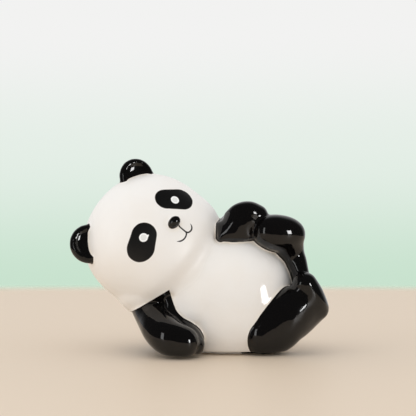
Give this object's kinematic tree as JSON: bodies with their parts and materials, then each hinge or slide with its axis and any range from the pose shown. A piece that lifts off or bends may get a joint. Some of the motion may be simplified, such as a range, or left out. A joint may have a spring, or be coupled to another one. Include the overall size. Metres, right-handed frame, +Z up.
{
  "type": "figurine",
  "caption": "glazed ceramic panda figurine lying on its side, propped on one arm, with its legs drawn up and a flat base, made to stand on a shelf or table as decoration",
  "frame": {"origin": "middle of the bounding box on the plane that the figurine stands on", "axes": "+X from the head towards the feet, the longest extent; -Y the way the belly and face look; +Z up from the flat base"},
  "size_m": [0.0976, 0.0592, 0.0738],
  "materials": {
    "white_and_black_glaze": "glossy"
  },
  "bodies": {
    "root": {"panda_figurine": "white_and_black_glaze"}
  },
  "joints": []
}
